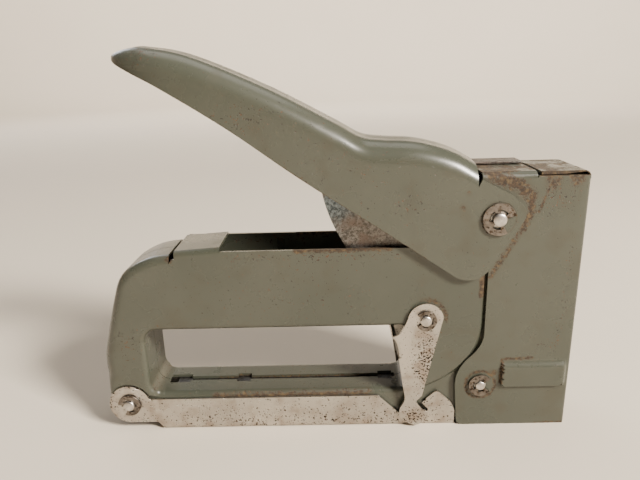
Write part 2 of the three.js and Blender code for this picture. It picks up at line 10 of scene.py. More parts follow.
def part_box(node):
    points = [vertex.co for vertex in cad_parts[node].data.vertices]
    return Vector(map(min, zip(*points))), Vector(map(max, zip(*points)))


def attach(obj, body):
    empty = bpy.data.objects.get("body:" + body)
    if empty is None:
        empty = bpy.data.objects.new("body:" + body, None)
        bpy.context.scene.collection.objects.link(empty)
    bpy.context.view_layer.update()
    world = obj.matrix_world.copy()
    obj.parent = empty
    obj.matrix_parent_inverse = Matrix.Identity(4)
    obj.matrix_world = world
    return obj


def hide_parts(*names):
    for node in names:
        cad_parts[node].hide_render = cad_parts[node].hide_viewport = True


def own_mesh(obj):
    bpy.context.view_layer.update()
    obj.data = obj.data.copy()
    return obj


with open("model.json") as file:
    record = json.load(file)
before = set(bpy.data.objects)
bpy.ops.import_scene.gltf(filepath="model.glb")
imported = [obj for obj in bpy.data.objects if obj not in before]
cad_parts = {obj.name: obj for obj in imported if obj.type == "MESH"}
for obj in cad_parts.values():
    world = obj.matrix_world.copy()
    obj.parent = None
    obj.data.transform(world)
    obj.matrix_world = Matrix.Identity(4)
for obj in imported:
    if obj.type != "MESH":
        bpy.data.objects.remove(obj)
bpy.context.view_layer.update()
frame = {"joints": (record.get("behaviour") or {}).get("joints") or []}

MM = 0.001


# ---- places, from the frame ----
def joint_place(name):
    found = next(j for j in frame["joints"] if j["name"] == name)
    return found["pos_m"][0] / MM, found["pos_m"][2] / MM


def middle(node):
    low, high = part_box(node)
    return [(a + b) / 2 / MM for a, b in zip(low, high)]


def edges_of(node):
    low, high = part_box(node)
    return [v / MM for v in low], [v / MM for v in high]


LEVER = joint_place("lever_hinge")
LATCH = joint_place("latch_swing")
HINGE = joint_place("track_swing")
NOSE_PIN = middle("nose_pin")[0], middle("nose_pin")[2]
NOSE_HIGH = edges_of("nose_shell")[1]
NOSE_X, TAIL_X = NOSE_HIGH[0], edges_of("right_body_shell")[0][0]
BODY_TOP = 78.0
BODY_RECESS = 1.4    # how far the lower part of each side is pressed in

# half widths over the outside of each pressing, and the sheet each is made from
BODY_OUT, NOSE_OUT = 12.9, 13.3
TRACK_OUT, LATCH_OUT, HANDLE_OUT, INSERT_OUT = (
    -edges_of(node)[0][1] for node in ("magazine_track", "latch", "handle_shell", "lever_insert"))
SHEET = dict(body=1.2, nose=1.2, cap=1.3, plate=1.0, track=1.1, latch=1.2, handle=1.3, insert=1.4)
SEAM = 0.15          # what each body side stops short of the middle
PROBE = 40           # how far out a sheet is looked at to tell its outer face

LOOP = dict(x0=TAIL_X + 18, x1=NOSE_X - 64, z0=16.3, z1=45.4, r=5)


# ---- outlines ----
def line(a, b):
    return [a, b]


def arc(cx, cz, r, start, end, steps=10):
    angles = (start + (end - start) * i / steps for i in range(steps + 1))
    return [(cx + r * cos(a), cz + r * sin(a)) for a in angles]


def bow(a, b, c, steps=10):
    """A curve from a to c that bends towards b."""
    return [tuple((1 - t) ** 2 * p + 2 * t * (1 - t) * q + t * t * s for p, q, s in zip(a, b, c))
            for t in (i / steps for i in range(steps + 1))]


def smooth(points, steps=8):
    """A smooth curve through the points."""
    out = []
    for i in range(len(points) - 1):
        p0, p1 = points[max(i - 1, 0)], points[i]
        p2, p3 = points[i + 1], points[min(i + 2, len(points) - 1)]
        for s in range(steps):
            t = s / steps
            out.append(tuple(
                0.5 * (2 * b + (c - a) * t + (2 * a - 5 * b + 4 * c - d) * t * t
                       + (3 * b - a - 3 * c + d) * t ** 3)
                for a, b, c, d in zip(p0, p1, p2, p3)))
    return out + [points[-1]]


def even(points, gap):
    """The same line with points no more than a gap apart."""
    out = [points[0]]
    for a, b in zip(points, points[1:]):
        count = max(1, int(hypot(b[0] - a[0], b[1] - a[1]) / gap + 0.999))
        out += [(a[0] + (b[0] - a[0]) * i / count, a[1] + (b[1] - a[1]) * i / count)
                for i in range(1, count + 1)]
    return out


def inside(point, ring):
    """Whether a point is within a closed outline."""
    x, z = point
    odd = False
    for (x1, z1), (x2, z2) in zip(ring, ring[1:] + ring[:1]):
        if (z1 > z) != (z2 > z) and x < x1 + (z - z1) * (x2 - x1) / (z2 - z1):
            odd = not odd
    return odd


def distance(point, path):
    """How far a point is from an open line."""
    best = 1e9
    px, pz = point
    for (x1, z1), (x2, z2) in zip(path, path[1:]):
        dx, dz = x2 - x1, z2 - z1
        t = max(0, min(1, ((px - x1) * dx + (pz - z1) * dz) / (dx * dx + dz * dz + 1e-12)))
        best = min(best, hypot(px - x1 - t * dx, pz - z1 - t * dz))
    return best


def step(t):
    """An eased step from 0 to 1."""
    t = max(0.0, min(1.0, t))
    return t * t * (3 - 2 * t)


# ---- pressed sheet metal ----
def run(points, radius=0.0, depth=0.0, gap=1.5, radius_end=None):
    """A stretch of an outline, with the flange that turns in there: its bend radius and depth."""
    points = even(points, gap)
    last = radius if radius_end is None else radius_end
    n = max(1, len(points) - 1)
    return [(p, radius + (last - radius) * i / n, depth) for i, p in enumerate(points)]


def same_point(a, b):
    return hypot(a[0][0] - b[0][0], a[0][1] - b[0][1]) < 1e-4 and a[1:] == b[1:]


def ring_of(runs):
    """The runs joined into one closed outline, each shared point kept once."""
    ring = []
    for item in (item for part in runs for item in part):
        if not ring or not same_point(item, ring[-1]):
            ring.append(item)
    while same_point(ring[0], ring[-1]):
        ring.pop()
    return ring


def way_from(ring, i, turn):
    """The outline's direction at a point, taken from the next place that differs."""
    (x, z), count = ring[i][0], len(ring)
    for k in range(1, count):
        other = ring[(i + turn * k) % count][0]
        dx, dz = turn * (other[0] - x), turn * (other[1] - z)
        if hypot(dx, dz) > 1e-4:
            return dx / hypot(dx, dz), dz / hypot(dx, dz)


def inward(ring):
    """Unit normals pointing into the sheet; the outline runs with the metal on its left."""
    count, normals = len(ring), []
    for i in range(count):
        ahead, behind = way_from(ring, i, 1), way_from(ring, i, -1)
        if ring[i][2] > 0 and ring[(i + 1) % count][2] == 0:
            ahead = behind
        elif ring[i][2] > 0 and ring[i - 1][2] == 0:
            behind = ahead
        tx, tz = ahead[0] + behind[0], ahead[1] + behind[1]
        size = hypot(tx, tz) or 1.0
        scale = min(1.6, 2 / size) if size > 0.2 else 1.0
        normals.append((-tz / size * scale, tx / size * scale))
    return normals


BEND_STEPS = 6


def flat_side(x, z):
    return 0.0


def pressing(outline, out, holes=(), lines=(), relief=flat_side, grid=5.0):
    """Vertices and faces of one pressed side: a flat with bent flanges, on the -Y side."""
    verts, faces = [], []

    def put(x, y, z):
        verts.append((x * MM, y * MM, z * MM))
        return len(verts) - 1

    rings = [ring_of(outline)] + [ring_of(hole) for hole in holes]
    normals = [inward(ring) for ring in rings]
    flats = [[(p[0] + a * r, p[1] + b * r) for (p, r, _), (a, b) in zip(ring, normal)]
             for ring, normal in zip(rings, normals)]

    def on_flat(point):
        return inside(point, flats[0]) and not any(inside(point, hole) for hole in flats[1:])

    coords = [Vector(p) for flat in flats for p in flat]
    edges, base = [], 0
    for flat in flats:
        edges += [(base + i, base + (i + 1) % len(flat)) for i in range(len(flat))]
        base += len(flat)
    for path in lines:
        coords += [Vector(p) for p in even(path, 1.5) if on_flat(p)]
    xs, zs = [p[0] for p in flats[0]], [p[1] for p in flats[0]]
    x = min(xs) + grid / 2
    while x < max(xs):
        z = min(zs) + grid / 2
        while z < max(zs):
            if on_flat((x, z)) and all(distance((x, z), f + f[:1]) > grid * 0.3 for f in flats):
                coords.append(Vector((x, z)))
            z += grid
        x += grid
    filled = delaunay_2d_cdt(coords, edges, [], 0, 1e-5)
    points, triangles = filled[0], filled[2]
    index = [put(p[0], -out + relief(p[0], p[1]), p[1]) for p in points]
    for tri in triangles:
        if on_flat([sum(points[i][axis] for i in tri) / len(tri) for axis in (0, 1)]):
            faces.append([index[i] for i in tri])
    for ring, normal in zip(rings, normals):
        rows = []
        for (p, r, d), (a, b) in zip(ring, normal):
            if d == 0:
                rows.append(None)
                continue
            row = []
            y0 = -out + relief(p[0] + a * r, p[1] + b * r)
            for k in range(BEND_STEPS + 1):
                t = k / BEND_STEPS * pi / 2
                side, down = r * (1 - sin(t)), r * (1 - cos(t))
                row.append(put(p[0] + a * side, y0 + down, p[1] + b * side))
            row.append(put(p[0], -out + (r + d) / 2, p[1]))
            row.append(put(p[0], -out + d, p[1]))
            rows.append(row)
        for i, row in enumerate(rows):
            after = rows[(i + 1) % len(rows)]
            if row is None or after is None:
                continue
            for k in range(len(row) - 1):
                faces.append([row[k], row[k + 1], after[k + 1], after[k]])
    return verts, faces


def other_side(shape):
    """The same shape on the left, with its faces turned to suit."""
    verts, faces = shape
    return [(x, -y, z) for x, y, z in verts], [f[::-1] for f in faces]


def together(*shapes):
    """Several shapes as one."""
    verts, faces = [], []
    for v, f in shapes:
        faces += [[i + len(verts) for i in face] for face in f]
        verts += v
    return verts, faces


def select_only(obj):
    bpy.ops.object.select_all(action="DESELECT")
    obj.select_set(True)
    bpy.context.view_layer.objects.active = obj


def apply(obj, kind, **settings):
    select_only(obj)
    modifier = obj.modifiers.new(kind.title(), kind)
    for key, value in settings.items():
        setattr(modifier, key, value)
    bpy.ops.object.modifier_apply(modifier=modifier.name)


def edit_whole(obj, *jobs):
    """Runs edit-mode jobs with the whole mesh selected."""
    select_only(obj)
    bpy.ops.object.mode_set(mode="EDIT")
    bpy.ops.mesh.select_all(action="SELECT")
    for operator, settings in jobs:
        operator(**settings)
    bpy.ops.object.mode_set(mode="OBJECT")


def piece(name, shape, merge=0.02):
    """A new mesh object with its doubles merged."""
    mesh = bpy.data.meshes.new(name)
    mesh.from_pydata(shape[0], [], shape[1])
    obj = bpy.data.objects.new(name, mesh)
    bpy.context.collection.objects.link(obj)
    edit_whole(obj, (bpy.ops.mesh.remove_doubles, {"threshold": merge * MM}),
               (bpy.ops.mesh.dissolve_degenerate, {"threshold": 0.005 * MM}))
    return obj


def faces_outward(obj, probe):
    """Turns the sheet's faces so that the one nearest the probe faces it."""
    outside = Vector([c * MM for c in probe])
    edit_whole(obj, (bpy.ops.mesh.normals_make_consistent, {"inside": False}))
    near = min(obj.data.polygons, key=lambda f: (f.center - outside).length)
    if near.normal.dot(outside - near.center) < 0:
        edit_whole(obj, (bpy.ops.mesh.flip_normals, {}))


def finish_sheet(obj, thickness, probe, rim=0.22):
    """Gives a sheet its thickness, inwards from the outer face, and rounds its cut rim."""
    faces_outward(obj, probe)
    apply(obj, "SOLIDIFY", thickness=thickness * MM, offset=-1, use_even_offset=True,
          thickness_clamp=0.9)
    apply(obj, "BEVEL", width=rim * MM, segments=2, limit_method="ANGLE",
          angle_limit=radians(50), use_clamp_overlap=True)
    shade(obj)


def shade(obj, angle=35):
    select_only(obj)
    bpy.ops.object.shade_smooth_by_angle(angle=radians(angle))
    apply(obj, "WEIGHTED_NORMAL", keep_sharp=True, weight=80)


def place(obj, body, slot, material, *nodes):
    """Gives a piece its material, the body it rides on and the built parts it stands for."""
    obj.data.materials.clear()
    obj.data.materials.append(material)
    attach(obj, body)
    if nodes:
        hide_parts(*nodes)


# ---- the pieces ----
def body_outline(with_strap):
    """One side of the body; the strap that bridges the top is part of the right side only."""
    top, x = BODY_TOP, TAIL_X
    seam, tight = BODY_OUT - SEAM, 5.5
    rear = smooth([(x + 31, top - 1.4), (x + 23, top - 2.6), (x + 15, top - 6.4),
                   (x + 10.2, top - 11.5), (x + 7, top - 20), (x + 2.8, top - 34),
                   (x + 0.7, top - 42), (x, top - 47), (x + 0.2, top - 54), (x + 0.9, 17)], 6)
    if with_strap:
        edge = [
            run(line((LEVER[0] - 24, top), (x + 51, top))),
            run(line((x + 51, top + 1.4), (x + 33.5, top + 0.3)), 2.2, 2 * BODY_OUT - 2.5),
            run([(x + 33.6, top - 2.6), (x + 32.4, top - 2.8)]),
        ]
    else:
        edge = [
            run(line((LEVER[0] - 24, top), (x + 34, top))),
            run([(x + 34, top), (x + 32.4, top - 2.8)]),
        ]
    return [
        run(line((HINGE[0] + 8, 2.5), (NOSE_X - 22, 2.5))),
        run(line((NOSE_X - 22, 2.5), (NOSE_X - 22, LEVER[1] + 11))),
        run([(NOSE_X - 22, LEVER[1] + 11), (LEVER[0] - 9, LEVER[1] + 11), (LEVER[0] - 24, top)]),
        *edge,
        run(rear[:-7], 3.2, seam, radius_end=tight),
        run(rear[-8:], tight, seam, radius_end=0.8),
        run(arc(*HINGE, 7.8, pi * 0.83, pi * 1.5, 12)),
    ]


def recess_edge():
    """Where the side is pressed in, to clear the track and the nose."""
    x, z, eye = NOSE_X - 36.8, LOOP["z0"], 9.4
    bend = (x - 6, z + 13.5)
    curve = bow((x, 47), (x, z + 20), bend) + bow(bend, (x - 12, z + 5), (x - 29, z))
    start = atan2(z - HINGE[1], sqrt(eye * eye - (z - HINGE[1]) ** 2))
    return [(x, 130), *curve, *arc(*HINGE, eye, start, pi, 14), (TAIL_X - 6, 4)]


RECESS = recess_edge()
RECESS_AREA = RECESS + [(TAIL_X - 6, -10), (NOSE_X + 5, -10), (NOSE_X + 5, 130)]
RECESS_SLOPE = 1.6


def body_relief(x, z):
    if not inside((x, z), RECESS_AREA):
        return 0.0
    return BODY_RECESS * step(distance((x, z), RECESS) / RECESS_SLOPE)


def beside(path, gap):
    """The same line, moved over to its right by the gap."""
    out = []
    for i, p in enumerate(path):
        a, b = path[max(i - 1, 0)], path[min(i + 1, len(path) - 1)]
        size = hypot(b[0] - a[0], b[1] - a[1]) or 1
        side, down = (b[1] - a[1]) / size, (b[0] - a[0]) / size
        out.append((p[0] + side * gap, p[1] - down * gap))
    return out


def loop_hole():
    """The finger loop, run with the metal on its left; its floor has notches at the seam."""
    x0, x1, z0, z1, r = LOOP["x0"], LOOP["x1"], LOOP["z0"], LOOP["z1"], LOOP["r"]
    seam, slot, notch = BODY_OUT - SEAM, BODY_OUT - 1.5, BODY_OUT - 3.2
    floor, at = [], x0 + r
    for start, end in ((x0 + 5.2, x0 + 14), (x0 + 34, x0 + 40), (x1 - 12, x1 - 6)):
        floor.append(run(line((at, z0), (start, z0)), 2.4, slot)[::-1])
        floor.append(run(line((start, z0), (end, z0)), 2.4, notch)[::-1])
        at = end
    floor.append(run(line((at, z0), (x1 - r, z0)), 2.4, slot)[::-1])
    return [
        run(arc(x0 + r, z1 - r, r, pi, pi / 2), 2.0, seam),
        run(line((x0 + r, z1), (x1 - r, z1)), 2.0, seam),
        run(arc(x1 - r, z1 - r, r, pi / 2, 0), 2.0, seam),
        run(line((x1, z1 - r), (x1, z0 + r)), 2.0, seam),
        run(arc(x1 - r, z0 + r, r, 0, -pi / 2), 2.0, seam),
        *floor[::-1],
        run(arc(x0 + r, z0 + r, r, -pi / 2, -pi), 2.2, seam),
        run(line((x0, z0 + r), (x0, z1 - r)), 2.2, seam),
    ]


def body_side(with_strap):
    creases = [beside(RECESS, gap) for gap in (0.0, -RECESS_SLOPE / 2, -RECESS_SLOPE, 0.4)]
    return pressing(body_outline(with_strap), BODY_OUT, [loop_hole()], creases, body_relief)


def make_body(enamel):
    sides = {"right": (body_side(True), -PROBE), "left": (other_side(body_side(False)), PROBE)}
    for side, (shape, probe) in sides.items():
        shell = piece(f"{side}_shell_pressing", shape)
        finish_sheet(shell, SHEET["body"], (TAIL_X + 60, probe, 60))
        place(shell, "root", "green_enamel", enamel, f"{side}_body_shell")


NOSE_BEND, CAP_BEND = 1.1, 2.4


def nose_outline(top_flange):
    """One side of the nose; the top flange reaches over from behind the cap."""
    x, rear, top = NOSE_X, NOSE_X - 35.2, NOSE_HIGH[2]
    cap, shoulder, lobe, heel = x - 19.2, top - 1.6, rear - 4.2, (rear - 9.6, 3)
    waist = (rear - 5, 31.5)
    back = [(lobe, top - 2.4), (lobe, top - 4.6), (rear - 3.2, top - 5.6), (rear, top - 6.6)]
    back += bow((rear, 41), (rear - 0.3, 36), waist)
    back += bow(waist, (rear - 11, 26), (rear - 10.6, 18))[1:]
    back += bow(heel, (rear - 9.4, 0), (rear - 6.5, 0))
    return [
        run(line((rear - 6.5, 0), (x - NOSE_BEND, 0))),
        run(line((x, 0), (x, shoulder)), NOSE_BEND, NOSE_OUT),
        run(line((x - NOSE_BEND, shoulder), (cap, shoulder))),
        run(line((cap - 0.3, top), (lobe, top)), CAP_BEND, top_flange),
        run(back),
    ]


BOSS = dict(x0=NOSE_X - 27.6, x1=NOSE_X - NOSE_BEND, z0=18.0, z1=29.9, high=1.4)
REAR_CUT, LOWER_CUT, FRONT_FADE, TOP_FADE = 0.25, 0.3, 1.8, 3.6


def boss_relief(x, z):
    """A lanced bulge: cut along its rear and lower edges, running out to the front and top."""
    b = BOSS
    if not (b["x0"] < x < b["x1"] and b["z0"] < z < b["z1"]):
        return 0.0
    rise = min(1, (x - b["x0"]) / REAR_CUT) * min(1, (z - b["z0"]) / LOWER_CUT)
    return -b["high"] * rise * step((b["x1"] - x) / FRONT_FADE) * step((b["z1"] - z) / TOP_FADE)


def boss_lines():
    """Lines over the bulge, closest together where its height changes."""
    b = BOSS
    rows = []
    for dz in (0.0, LOWER_CUT, 3.6, 6.8, 8.3, 9.0, 9.7, 10.4, 11.1, 11.9):
        rows.append(line((b["x0"], b["z0"] + dz), (b["x1"], b["z0"] + dz)))
    for dx in (0.0, REAR_CUT):
        rows.append(line((b["x0"] + dx, b["z0"]), (b["x0"] + dx, b["z1"])))
    for dx in (0.0, 0.45, 0.9, 1.35, FRONT_FADE):
        rows.append(line((b["x1"] - dx, b["z0"]), (b["x1"] - dx, b["z1"])))
    return rows


def ribbon(path, y0, y1, steps=6):
    """A strip of sheet that follows a side-view path."""
    verts = [(x * MM, (y0 + (y1 - y0) * j / steps) * MM, z * MM)
             for x, z in path for j in range(steps + 1)]
    w = steps + 1
    faces = [[i * w + j, i * w + j + 1, (i + 1) * w + j + 1, (i + 1) * w + j]
             for i in range(len(path) - 1) for j in range(steps)]
    return verts, faces


def make_nose(enamel, zinc):
    near, far = (pressing(nose_outline(NOSE_OUT + reach), NOSE_OUT, (), boss_lines(), boss_relief)
                 for reach in (3.5, -4))
    shell = piece("nose_pressing", together(near, other_side(far)))
    finish_sheet(shell, SHEET["nose"], (NOSE_X - 15, -PROBE, 70))
    place(shell, "root", "green_enamel", enamel, "nose_shell")
    x, top, above = NOSE_X, NOSE_HIGH[2], 150
    path = [(x, top - 3.2), *arc(x - CAP_BEND, top - CAP_BEND, CAP_BEND, 0, pi / 2, 8),
            (x - 10, top), (x - 18.1, top)]
    cap = piece("nose_cap_tab", ribbon(path, -12.9, 12.9))
    finish_sheet(cap, SHEET["cap"], (x - 9, 0, above))
    place(cap, "root", "green_enamel", enamel)
    low, high = edges_of("nose_top_plate")
    path = [(low[0], high[2]), ((low[0] + high[0]) / 2, high[2]), (high[0], high[2])]
    plate = piece("nose_top_cover", ribbon(path, 3.4, 12.2))
    finish_sheet(plate, SHEET["plate"], (low[0] + 8, 0, above))
    place(plate, "root", "dull_zinc", zinc, "nose_top_plate")


def track_outline():
    """The track's side: an ear and a hooked finger in front, and an eye round the hinge pin."""
    x, (hx, hz) = NOSE_X, HINGE
    top, r = 14.2, 8.5
    ear = [(x - 45.4, 0), (x - 45.4, 6.6), (x - 46.0, 8.4), (x - 47.4, 11), (x - 51.6, 15.0),
           (x - 52.8, 15.8), (x - 54.0, 15.4), (x - 57.3, 12.4)]
    finger = arc(x - 57.7, 10.4, 1, 1.2, 4.2, 8)
    finger += [(x - 56.4, 7.4), (x - 57, 4.4), (x - 66.8, 4.4)]
    upper = [(x - 66.8, 4.4), (x - 76.7, top - 0.3), (x - 77.6, top), (hx + 9.6, top)]
    eye = arc(hx, hz, r, 0.3, pi * 1.5, 26) + [(hx + 11, hz - r), (TAIL_X + 22, 0.6)]
    return [
        run(line((TAIL_X + 22.6, 0), (x - 45.4, 0)), 1.5, TRACK_OUT, gap=3),
        run(ear, gap=2), run(finger, gap=2), run(upper, gap=3), run(eye, gap=2),
    ]


def make_track(chrome):
    side = pressing(track_outline(), TRACK_OUT)
    track = piece("track_pressing", together(side, other_side(side)))
    finish_sheet(track, SHEET["track"], (0, -PROBE, 8))
    place(track, "track", "pitted_chrome", chrome, "magazine_track")


def about(centre, points):
    """Points given from a pin's centre, moved to their place."""
    return [(centre[0] + p, centre[1] + q) for p, q in points]


def latch_outline():
    """The latch's side: a round head, a web along the back and a hook at the foot."""
    head = arc(0, 0, 7, 0.15, 2.95, 14) + bow((-6.9, 1.3), (-8.4, -3.4), (-10.2, -5.9), 6)[1:]
    head += [(-12.6, -7.0), (-12.9, -7.8)]
    web = bow((-12.9, -8.4), (-11.0, -10), (-10.5, -16.2), 8)
    lower = [(-10.4, -16.6), (-7.9, -33)]
    lower += bow((-7.8, -33.4), (-7.2, -36), (-9.4, -39), 6)
    lower += bow((-9.4, -39), (-10.6, -42), (-8.8, -44.4), 6)[1:]
    lower += bow((-5.6, -46.9), (-2.9, -48.3), (-0.9, -46.6), 6)
    lower += bow((-0.9, -46.6), (1.6, -44.2), (1.9, -41.6), 6)[1:]
    lower += [(-0.2, -40.6), (-3.2, -36.4), (-0.7, -33.8), (6.9, 1)]
    return [run(about(LATCH, head), gap=2), run(about(LATCH, web), 1.6, LATCH_OUT, gap=2),
            run(about(LATCH, lower), gap=2)]


def make_latch(chrome):
    side = pressing(latch_outline(), LATCH_OUT)
    latch = piece("latch_pressing", together(side, other_side(side)))
    finish_sheet(latch, SHEET["latch"], (LATCH[0], -PROBE, LATCH[1] - 20))
    place(latch, "latch", "pitted_chrome", chrome, "latch")


# ---- handle ----
# Its profile is given from the lever pin.
HANDLE_TIP, ROOF_END, CHEEK_END = -140.4, -8.1, 9.89
CHEEK_ROUND = (4.2, 1.6, 5.7)    # the round front of each cheek: its centre and radius
HANDLE_TOP = smooth([(HANDLE_TIP, 61.1), (-139, 62.1), (-136.4, 63.1), (-132.5, 63.9),
                     (-127, 64.1), (-111, 60.9), (-84, 49.4), (-60, 36.8), (-50, 31.2),
                     (-42, 29.9), (-29.5, 28.9), (-17, 25.4), (-8, 20.6)], 12)
HANDLE_LOW = smooth([(HANDLE_TIP, 60.2), (-137.5, 58.1), (-131, 54.9), (-119, 48.6),
                     (-97, 34.4), (-73, 16.9), (-45, -2), (-20, -19.0)], 12)
HANDLE_LOW += arc(-10, -14.6, 9.4, -2.2, -0.72, 10) + arc(*CHEEK_ROUND, -0.6, 0, 8)
CHEEK_TOP = [(ROOF_END, 15.4), (-6.8, 14.8), (4.6, 8.9)] + arc(*CHEEK_ROUND, 1.1, 0, 10)
TIP_ROUND = 26.0                 # over this length the tip narrows to a point
TIP_HALF = 0.3
ROOF_BEND = 8.0
ROOF_CROWN = 0.1                 # rise of the roof's middle, as a share of its half width
SIDE_ROWS, BEND_ROWS, ROOF_ROWS = 10, 8, 6


def height(path, x):
    """The height of a line at x."""
    for (x1, z1), (x2, z2) in zip(path, path[1:]):
        if x1 <= x <= x2 and x2 > x1:
            return z1 + (z2 - z1) * (x - x1) / (x2 - x1)
    return path[-1][1] if x > path[-1][0] else path[0][1]


def handle_row(x):
    """Half of one cross-section, from the cheek's lower edge to the middle of the roof."""
    short = max(0.0, 1 - (x - HANDLE_TIP) / TIP_ROUND)
    half = TIP_HALF + (HANDLE_OUT - TIP_HALF) * sqrt(max(0.0, 1 - short ** 2))
    low = height(HANDLE_LOW, x)

    def side(high):
        return [(x, half, low + (high - low) * i / SIDE_ROWS) for i in range(SIDE_ROWS + 1)]

    if x > ROOF_END + 1e-6:
        return side(max(height(CHEEK_TOP, x), low + 0.02))
    top = height(HANDLE_TOP, x)
    r = min(ROOF_BEND, (top - low) * 0.8, half * 0.8)
    flat = half - r
    crown = ROOF_CROWN * flat
    turns = (pi / 2 * i / BEND_ROWS for i in range(1, BEND_ROWS + 1))
    bend = [(x, flat + r * cos(t), top - crown - r + r * sin(t)) for t in turns]
    shares = (i / ROOF_ROWS for i in range(1, ROOF_ROWS + 1))
    roof = [(x, flat * (1 - t), top - crown * (1 + cos(pi * t)) / 2) for t in shares]
    return side(top - crown - r) + bend + roof


def make_handle(enamel):
    """A skin over cross-sections that start close together at the tip."""
    back, cheek = 90, 22
    stations = [HANDLE_TIP + (ROOF_END - HANDLE_TIP) * (i / back) ** 1.3 for i in range(back + 1)]
    stations += [ROOF_END + (CHEEK_END - ROOF_END) * sin(pi / 2 * i / cheek)
                 for i in range(1, cheek + 1)]
    verts, index = [], []
    for row in map(handle_row, stations):
        index.append(list(range(len(verts), len(verts) + len(row))))
        verts += [((LEVER[0] + x) * MM, -y * MM, (LEVER[1] + z) * MM) for x, y, z in row]
    faces = []
    for a, b in zip(index, index[1:]):
        faces += [[a[k], b[k], b[k + 1], a[k + 1]] for k in range(min(len(a), len(b)) - 1)]
    handle = piece("handle_pressing", together((verts, faces), other_side((verts, faces))))
    finish_sheet(handle, SHEET["handle"], (LEVER[0] - 60, -60, LEVER[1] + 40), rim=0.3)
    place(handle, "lever", "green_enamel", enamel, "handle_shell")


def make_insert(zinc):
    """The lever's inner channel, with a nose in front that lifts the plunger."""
    arm, droop = 24, radians(12.5)
    tx, tz = arm * cos(droop), -arm * sin(droop)
    lower = bow((-65.6, 15), (-64.6, 2), (-55, -13.5), 10)
    lower += bow((-55, -13.5), (-53, -16), (-49, -15.6), 6)[1:]
    lower += [(-8, -7), (3, -6.2), (tx - 6.4, tz - 0.2)] + arc(tx, tz, 2.4, -2.4, 2.4, 12)
    lower += [(tx - 6.4, tz + 2.9), (7, 3.5), (0, 8), (-16, 14)]
    outline = [run(about(LEVER, lower), gap=3),
               run(about(LEVER, line((-16, 14), (-60, 22))), 1.4, INSERT_OUT, gap=3),
               run(about(LEVER, line((-60.4, 21.6), (-65.6, 15))), gap=3)]
    side = pressing(outline, INSERT_OUT)
    insert = piece("insert_pressing", together(side, other_side(side)))
    finish_sheet(insert, SHEET["insert"], (LEVER[0] - 40, -PROBE, LEVER[1]))
    place(insert, "lever", "dull_zinc", zinc, "lever_insert")


# ---- small parts ----
def turned(name, x, z, profile, sides=40):
    """A turned piece along Y, drawn out from a disc by extruding and scaling its end face."""
    bpy.ops.object.select_all(action="DESELECT")
    r, y = profile[0]
    bpy.ops.mesh.primitive_circle_add(
        vertices=sides, radius=r * MM, fill_type="NGON",
        location=(x * MM, y * MM, z * MM), rotation=(pi / 2, 0, 0))
    obj = bpy.context.active_object
    obj.name = name
    bpy.ops.object.transform_apply(location=True, rotation=True, scale=True)
    bpy.ops.object.mode_set(mode="EDIT")
    for (r0, y0), (r1, y1) in zip(profile, profile[1:]):
        bpy.ops.mesh.extrude_region_move(TRANSFORM_OT_translate={"value": (0, (y1 - y0) * MM, 0)})
        if abs(r1 - r0) > 1e-6:
            bpy.ops.transform.resize(value=(r1 / r0, 1, r1 / r0),
                                     center_override=(x * MM, y1 * MM, z * MM))
    bpy.ops.mesh.select_all(action="SELECT")
    bpy.ops.mesh.normals_make_consistent(inside=False)
    bpy.ops.object.mode_set(mode="OBJECT")
    shade(obj, 30)
    return obj


CLIP_OF = {"lever_pivot_pin": "lever_clip", "latch_pin": "latch_clip",
           "nose_pin": "nose_clip", "track_hinge_pin": "hinge_clip"}


def make_pin(node, tip, steel):
    """A cross pin with a groove for the clip and a domed tip beyond it at each end."""
    low, high = edges_of(node)
    x, z = (low[0] + high[0]) / 2, (low[2] + high[2]) / 2
    r, end = (high[2] - low[2]) / 2, high[1]
    clip = edges_of(CLIP_OF[node] + "_left")
    inner, outer = clip[0][1] - 0.1, clip[1][1] + 0.1
    groove, edge = tip - 0.7, 0.12
    turns = (pi / 2 * i / 7 for i in range(7))
    dome = [(tip * cos(t), end - tip * 0.32 * (1 - sin(t))) for t in turns] + [(0.05, end)]
    half = [(r, inner - 0.15), (r - 0.15, inner), (groove, inner), (groove, outer),
            (tip - edge, outer), (tip, outer + edge)]
    half += [p for p in dome if p[1] > outer + 0.15]
    pin = turned(node + "_turned", x, z, [(p, -q) for p, q in half[::-1]] + half)
    place(pin, "root", "pin_steel", steel, node)


def clip_outline(outer, inner, mouth):
    """A retaining clip: a ring open at its mouth, with three deep notches inside."""
    opening = 0.62
    points = arc(0, 0, outer, opening, 2 * pi - opening, 34) + [(inner * 0.95, -inner * 0.62)]
    deep = inner + (outer - inner) * 0.42
    for start, end in ((-0.95, -1.9), (-2.5, -3.8), (-4.4, -5.35)):
        points += arc(0, 0, inner, start + 0.28, start, 4)
        points += arc(0, 0, deep, start - 0.06, end + 0.06, 10)
        points += arc(0, 0, inner, end, end - 0.1, 3)
    points.append((inner * 0.95, inner * 0.62))
    across, up = cos(mouth), sin(mouth)
    return [(p * across - q * up, p * up + q * across) for p, q in points]


def make_clips(pin, tip, mouth, steel):
    low, high = edges_of(CLIP_OF[pin] + "_right")
    centre = middle(pin)
    outer = (high[2] - low[2]) / 2
    points = about(centre[::2], clip_outline(outer, tip - 0.42, mouth))
    flat = pressing([run(points, gap=5)], -low[1], grid=40)
    for side, shape, probe in (("right", flat, -60), ("left", other_side(flat), 60)):
        clip = piece(f"{CLIP_OF[pin]}_{side}_stamped", shape, merge=0.005)
        finish_sheet(clip, high[1] - low[1], (centre[0], probe, centre[2]), rim=0.12)
        place(clip, "root", "dark_clip_steel", steel, f"{CLIP_OF[pin]}_{side}")


